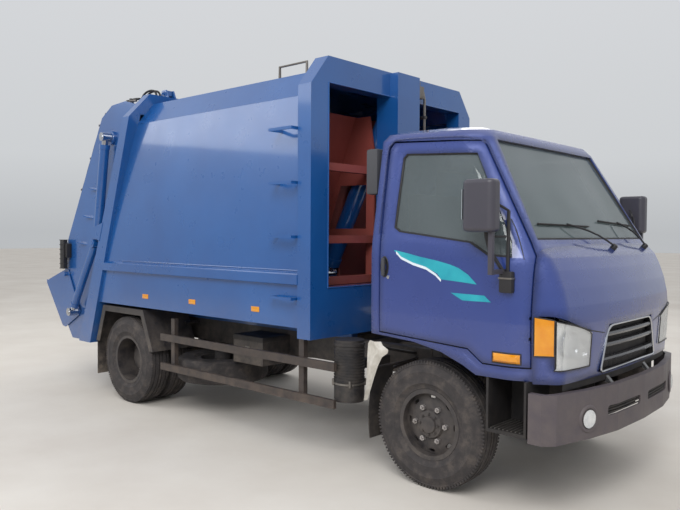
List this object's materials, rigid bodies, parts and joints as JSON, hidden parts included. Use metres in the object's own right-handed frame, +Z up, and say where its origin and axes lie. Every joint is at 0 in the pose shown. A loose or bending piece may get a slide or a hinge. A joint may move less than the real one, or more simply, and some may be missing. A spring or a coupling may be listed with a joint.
{
  "type": "garbage truck",
  "caption": "Rear-loading refuse collection truck: tilting cab, compactor body with an ejector, and a lifting tailgate with a hopper and tipping loading tray.",
  "frame": {"origin": "on the road, under the middle of the truck's bounding box", "axes": "+X to the front, +Y to the left, +Z up"},
  "size_m": [6.162, 2.41, 2.961],
  "materials": {
    "body_paint": "gloss",
    "cab_paint": "gloss",
    "red_primer": "satin",
    "black_paint": "satin",
    "rod_chrome": "polished",
    "tyre": "matte",
    "trim": "matte",
    "grille_plastic": "satin",
    "lamp": "gloss",
    "tail_lamp": "gloss",
    "bumper_plastic": "matte",
    "glass": "clear",
    "seat_fabric": "matte",
    "engine_iron": "rough",
    "guard_steel": "satin"
  },
  "bodies": {
    "chassis": {"chassis_frame": "black_paint", "front_axle": "black_paint", "leaf_springs": "black_paint", "rear_axle": "black_paint", "engine_block": "engine_iron", "driveline": "engine_iron", "fuel_tank": "black_paint", "air_cleaner": "trim", "battery_box": "black_paint", "spare_wheel": "tyre", "side_guards": "guard_steel", "rear_fenders": "black_paint", "front_bumper": "bumper_plastic", "body_floor": "body_paint", "body_roof": "body_paint", "body_side_right": "body_paint", "body_side_left": "body_paint", "front_portal": "body_paint", "rear_frame": "body_paint"},
    "knuckle_right": {"knuckle_right": "black_paint"},
    "knuckle_left": {"knuckle_left": "black_paint"},
    "front_wheel_right": {"front_tyre_right": "tyre", "front_rim_right": "black_paint"},
    "front_wheel_left": {"front_tyre_left": "tyre", "front_rim_left": "black_paint"},
    "rear_wheels_right": {"rear_tyres_right": "tyre", "rear_rims_right": "black_paint"},
    "rear_wheels_left": {"rear_tyres_left": "tyre", "rear_rims_left": "black_paint"},
    "cab": {"cab_shell": "cab_paint", "cab_nose": "cab_paint", "windscreen": "glass", "grille": "grille_plastic", "front_lamps": "lamp", "cab_steps": "trim", "dashboard": "trim", "steering_wheel": "trim", "seats": "seat_fabric", "snorkel": "trim"},
    "door_right": {"door_right": "cab_paint", "door_glass_right": "glass", "mirror_right": "trim"},
    "door_left": {"door_left": "cab_paint", "door_glass_left": "glass", "mirror_left": "trim"},
    "ejector": {"ejector": "red_primer"},
    "ram_barrel": {"ram_barrel": "body_paint"},
    "ram_rod": {"ram_rod": "rod_chrome"},
    "tailgate": {"tailgate_shell": "body_paint", "slide_barrels": "body_paint", "tail_lamps": "tail_lamp"},
    "lift_barrels": {"lift_barrels": "body_paint"},
    "lift_rods": {"lift_rods": "rod_chrome"},
    "carriage": {"carriage": "body_paint"},
    "sweep_blade": {"sweep_blade": "body_paint"},
    "sweep_barrels": {"sweep_barrels": "body_paint"},
    "sweep_rods": {"sweep_rods": "rod_chrome"},
    "loading_tray": {"loading_tray": "body_paint"},
    "tray_barrels": {"tray_barrels": "body_paint"},
    "tray_rods": {"tray_rods": "rod_chrome"}
  },
  "joints": [
    {"name": "steer_right", "type": "hinge", "parent": "chassis", "child": "knuckle_right", "pos_m": [2.081, -0.69, 0.405], "axis": [0, 0, 1], "range_deg": [-32, 32]},
    {"name": "front_wheel_right_spin", "type": "hinge", "parent": "knuckle_right", "child": "front_wheel_right", "pos_m": [2.081, -0.8345, 0.405], "axis": [0, 1, 0], "continuous": true},
    {"name": "steer_left", "type": "hinge", "parent": "chassis", "child": "knuckle_left", "pos_m": [2.081, 0.69, 0.405], "axis": [0, 0, 1], "range_deg": [-32, 32]},
    {"name": "front_wheel_left_spin", "type": "hinge", "parent": "knuckle_left", "child": "front_wheel_left", "pos_m": [2.081, 0.8345, 0.405], "axis": [0, 1, 0], "continuous": true},
    {"name": "rear_wheels_right_spin", "type": "hinge", "parent": "chassis", "child": "rear_wheels_right", "pos_m": [-1.294, -0.7685, 0.405], "axis": [0, 1, 0], "continuous": true},
    {"name": "rear_wheels_left_spin", "type": "hinge", "parent": "chassis", "child": "rear_wheels_left", "pos_m": [-1.294, 0.7685, 0.405], "axis": [0, 1, 0], "continuous": true},
    {"name": "cab_tilt", "type": "hinge", "parent": "chassis", "child": "cab", "pos_m": [2.976, 0, 0.68], "axis": [0, 1, 0], "range_deg": [0, 45]},
    {"name": "door_right_swing", "type": "hinge", "parent": "cab", "child": "door_right", "pos_m": [2.771, -0.963, 1.4], "axis": [0, 0, 1], "range_deg": [0, 68]},
    {"name": "door_left_swing", "type": "hinge", "parent": "cab", "child": "door_left", "pos_m": [2.771, 0.963, 1.4], "axis": [0, 0, -1], "range_deg": [0, 68]},
    {"name": "ejector_slide", "type": "slide", "parent": "chassis", "child": "ejector", "axis": [-1, 0, 0], "range_m": [0, 1.85]},
    {"name": "ram_barrel_swing", "type": "hinge", "parent": "chassis", "child": "ram_barrel", "pos_m": [1.081, 0, 2.72], "axis": [0, 1, 0], "range_deg": [-0.5, 34.2]},
    {"name": "ram_rod_slide", "type": "slide", "parent": "ram_barrel", "child": "ram_rod", "axis": [-0.4496, 0, -0.8932], "range_m": [-0.002, 1.33433]},
    {"name": "tailgate_lift", "type": "hinge", "parent": "chassis", "child": "tailgate", "pos_m": [-1.204, 0, 2.925], "axis": [0, 1, 0], "range_deg": [0, 70]},
    {"name": "lift_barrel_swing", "type": "hinge", "parent": "chassis", "child": "lift_barrels", "pos_m": [-1.85, 0, 1.6], "axis": [0, 1, 0], "range_deg": [-6.25, 0.5]},
    {"name": "lift_rod_slide", "type": "slide", "parent": "lift_barrels", "child": "lift_rods", "axis": [0.1567, 0, 0.9876], "range_m": [-0.002, 0.7295]},
    {"name": "carriage_slide", "type": "slide", "parent": "tailgate", "child": "carriage", "axis": [-0.5023, 0, -0.8647], "range_m": [0, 0.5]},
    {"name": "sweep_blade_swing", "type": "hinge", "parent": "carriage", "child": "sweep_blade", "pos_m": [-2.068, 0, 1.65], "axis": [0, 1, 0], "range_deg": [0, 78]},
    {"name": "sweep_barrel_swing", "type": "hinge", "parent": "carriage", "child": "sweep_barrels", "pos_m": [-1.7814, 0, 2.36243], "axis": [0, 1, 0], "range_deg": [-0.5, 7.68]},
    {"name": "sweep_rod_slide", "type": "slide", "parent": "sweep_barrels", "child": "sweep_rods", "axis": [-0.4899, 0, -0.8718], "range_m": [-0.22853, 0.002]},
    {"name": "tray_tip", "type": "hinge", "parent": "tailgate", "child": "loading_tray", "pos_m": [-2.619, 0, 1.15], "axis": [0, 1, 0], "range_deg": [0, 70]},
    {"name": "tray_barrel_swing", "type": "hinge", "parent": "tailgate", "child": "tray_barrels", "pos_m": [-1.904, 0, 1.489], "axis": [0, 1, 0], "range_deg": [-0.5, 22.08]},
    {"name": "tray_rod_slide", "type": "slide", "parent": "tray_barrels", "child": "tray_rods", "axis": [-0.5518, 0, -0.834], "range_m": [-0.002, 0.34821]}
  ],
  "couplings": [
    {"joint": "steer_left", "follows": "steer_right", "ratio": 1},
    {"joint": "ram_barrel_swing", "follows": "ejector_slide", "rad_per_m": 0.31795},
    {"joint": "ram_rod_slide", "follows": "ejector_slide", "ratio": 0.72018},
    {"joint": "lift_barrel_swing", "follows": "tailgate_lift", "ratio": -0.082213},
    {"joint": "lift_rod_slide", "follows": "tailgate_lift", "m_per_rad": 0.59547},
    {"joint": "sweep_barrel_swing", "follows": "sweep_blade_swing", "ratio": 0.092045},
    {"joint": "sweep_rod_slide", "follows": "sweep_blade_swing", "m_per_rad": -0.1664},
    {"joint": "tray_barrel_swing", "follows": "tray_tip", "ratio": 0.30826},
    {"joint": "tray_rod_slide", "follows": "tray_tip", "m_per_rad": 0.28338}
  ]
}
